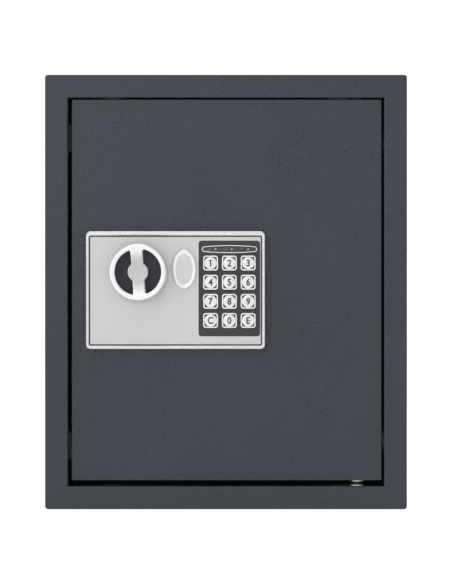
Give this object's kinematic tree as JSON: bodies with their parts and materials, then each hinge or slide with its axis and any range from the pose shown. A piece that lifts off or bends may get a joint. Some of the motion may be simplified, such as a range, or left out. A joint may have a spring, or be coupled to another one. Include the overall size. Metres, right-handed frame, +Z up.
{
  "type": "wall safe",
  "caption": "Electronic wall safe: folded steel cabinet with an inset hinged door, turning knob, key pad, sliding bolts and a capped emergency lock.",
  "frame": {"origin": "centre of the back face, which goes against the wall", "axes": "+X to the right seen from the front, +Z up, the door faces -Y"},
  "size_m": [0.3, 0.1197, 0.36],
  "materials": {
    "powder_coat": "textured powder coat, satin",
    "zinc_steel": "bright zinc plate",
    "satin_silver": "satin silver lacquer",
    "chrome_trim": "satin chrome",
    "dark_plastic": "fine moulded grain",
    "key_silver": "silver moulded, semi-gloss",
    "rubber": "matt silicone",
    "felt": "ribbed felt mat",
    "brass": "drawn brass",
    "copper_coil": "enamelled copper winding",
    "board": "solder mask",
    "battery": "printed sleeve, plain",
    "red_plastic": "moulded",
    "wire": "PVC sleeve",
    "clear_lens": "tinted acrylic",
    "led": "diffusing epoxy"
  },
  "bodies": {
    "cabinet": {"body_shell": "powder_coat", "back_plate": "powder_coat", "door_stops": "powder_coat", "hinge_pins": "zinc_steel", "hinge_washers": "zinc_steel", "floor_mat": "felt"},
    "door": {"door_plate": "powder_coat", "hinge_blocks": "powder_coat", "bolt_bracket": "powder_coat", "guide_studs": "zinc_steel", "spindle_bush": "brass", "panel_bezel": "satin_silver", "panel_housing": "dark_plastic", "faceplate": "satin_silver", "keypad_fascia": "dark_plastic", "indicator_trim": "chrome_trim", "indicator_lens": "clear_lens", "keypad_membrane": "rubber", "circuit_board": "board", "indicator_leds": "led", "panel_screws": "zinc_steel", "lock_barrel": "chrome_trim", "lock_nut": "zinc_steel", "solenoid_frame": "zinc_steel", "solenoid_coil": "copper_coil", "pin_spring": "zinc_steel", "battery_tray": "dark_plastic", "battery_cells": "battery", "battery_contacts": "zinc_steel", "mechanism_cover": "powder_coat", "cover_screws": "zinc_steel", "reset_switch": "dark_plastic", "battery_leads": "wire", "control_leads": "wire"},
    "knob": {"knob": "satin_silver", "knob_inlays": "dark_plastic", "spindle": "zinc_steel", "crank": "zinc_steel", "spindle_clip": "zinc_steel"},
    "bolts": {"bolt_plate": "zinc_steel", "locking_lug": "zinc_steel", "lock_bolts": "chrome_trim"},
    "release_pin": {"release_pin": "zinc_steel"},
    "emergency_plug": {"lock_plug": "brass", "lock_cam": "zinc_steel"},
    "lock_cap": {"lock_cap": "satin_silver"},
    "battery_cover": {"battery_cover": "dark_plastic"},
    "reset_button": {"reset_button": "red_plastic"},
    "key_1": {"key_1": "key_silver"},
    "key_2": {"key_2": "key_silver"},
    "key_3": {"key_3": "key_silver"},
    "key_4": {"key_4": "key_silver"},
    "key_5": {"key_5": "key_silver"},
    "key_6": {"key_6": "key_silver"},
    "key_7": {"key_7": "key_silver"},
    "key_8": {"key_8": "key_silver"},
    "key_9": {"key_9": "key_silver"},
    "key_clear": {"key_clear": "key_silver"},
    "key_0": {"key_0": "key_silver"},
    "key_enter": {"key_enter": "key_silver"}
  },
  "joints": [
    {"name": "door_swing", "type": "hinge", "parent": "cabinet", "child": "door", "pos_m": [0.109, -0.0904, 0], "axis": [0, 0, 1], "range_deg": [0, 115]},
    {"name": "knob_turn", "type": "hinge", "parent": "door", "child": "knob", "pos_m": [-0.0722, -0.1052, 0.0164], "axis": [0, -1, 0], "range_deg": [0, 90]},
    {"name": "bolt_slide", "type": "slide", "parent": "door", "child": "bolts", "axis": [-1, 0, 0], "range_m": [0, 0.01415]},
    {"name": "release_pin_lift", "type": "slide", "parent": "door", "child": "release_pin", "axis": [0, 0, 1], "range_m": [0, 0.005], "deforming": ["pin_spring"]},
    {"name": "emergency_key_turn", "type": "hinge", "parent": "door", "child": "emergency_plug", "pos_m": [-0.0345, -0.102, 0.0189], "axis": [0, -1, 0], "range_deg": [-90, 0]},
    {"name": "lock_cap_pull", "type": "slide", "parent": "door", "child": "lock_cap", "axis": [0, -1, 0], "range_m": [0, 0.03]},
    {"name": "battery_cover_pull", "type": "slide", "parent": "door", "child": "battery_cover", "axis": [0, 1, 0], "range_m": [0, 0.03]},
    {"name": "reset_press", "type": "slide", "parent": "door", "child": "reset_button", "axis": [0, -1, 0], "range_m": [0, 0.0012], "stiffness_N_per_m": 400},
    {"name": "key_1_press", "type": "slide", "parent": "door", "child": "key_1", "axis": [0, 1, 0], "range_m": [0, 0.0008], "stiffness_N_per_m": 800},
    {"name": "key_2_press", "type": "slide", "parent": "door", "child": "key_2", "axis": [0, 1, 0], "range_m": [0, 0.0008], "stiffness_N_per_m": 800},
    {"name": "key_3_press", "type": "slide", "parent": "door", "child": "key_3", "axis": [0, 1, 0], "range_m": [0, 0.0008], "stiffness_N_per_m": 800},
    {"name": "key_4_press", "type": "slide", "parent": "door", "child": "key_4", "axis": [0, 1, 0], "range_m": [0, 0.0008], "stiffness_N_per_m": 800},
    {"name": "key_5_press", "type": "slide", "parent": "door", "child": "key_5", "axis": [0, 1, 0], "range_m": [0, 0.0008], "stiffness_N_per_m": 800},
    {"name": "key_6_press", "type": "slide", "parent": "door", "child": "key_6", "axis": [0, 1, 0], "range_m": [0, 0.0008], "stiffness_N_per_m": 800},
    {"name": "key_7_press", "type": "slide", "parent": "door", "child": "key_7", "axis": [0, 1, 0], "range_m": [0, 0.0008], "stiffness_N_per_m": 800},
    {"name": "key_8_press", "type": "slide", "parent": "door", "child": "key_8", "axis": [0, 1, 0], "range_m": [0, 0.0008], "stiffness_N_per_m": 800},
    {"name": "key_9_press", "type": "slide", "parent": "door", "child": "key_9", "axis": [0, 1, 0], "range_m": [0, 0.0008], "stiffness_N_per_m": 800},
    {"name": "key_clear_press", "type": "slide", "parent": "door", "child": "key_clear", "axis": [0, 1, 0], "range_m": [0, 0.0008], "stiffness_N_per_m": 800},
    {"name": "key_0_press", "type": "slide", "parent": "door", "child": "key_0", "axis": [0, 1, 0], "range_m": [0, 0.0008], "stiffness_N_per_m": 800},
    {"name": "key_enter_press", "type": "slide", "parent": "door", "child": "key_enter", "axis": [0, 1, 0], "range_m": [0, 0.0008], "stiffness_N_per_m": 800}
  ],
  "couplings": [
    {"joint": "bolt_slide", "follows": "knob_turn", "m_per_rad": 0.0090032}
  ]
}
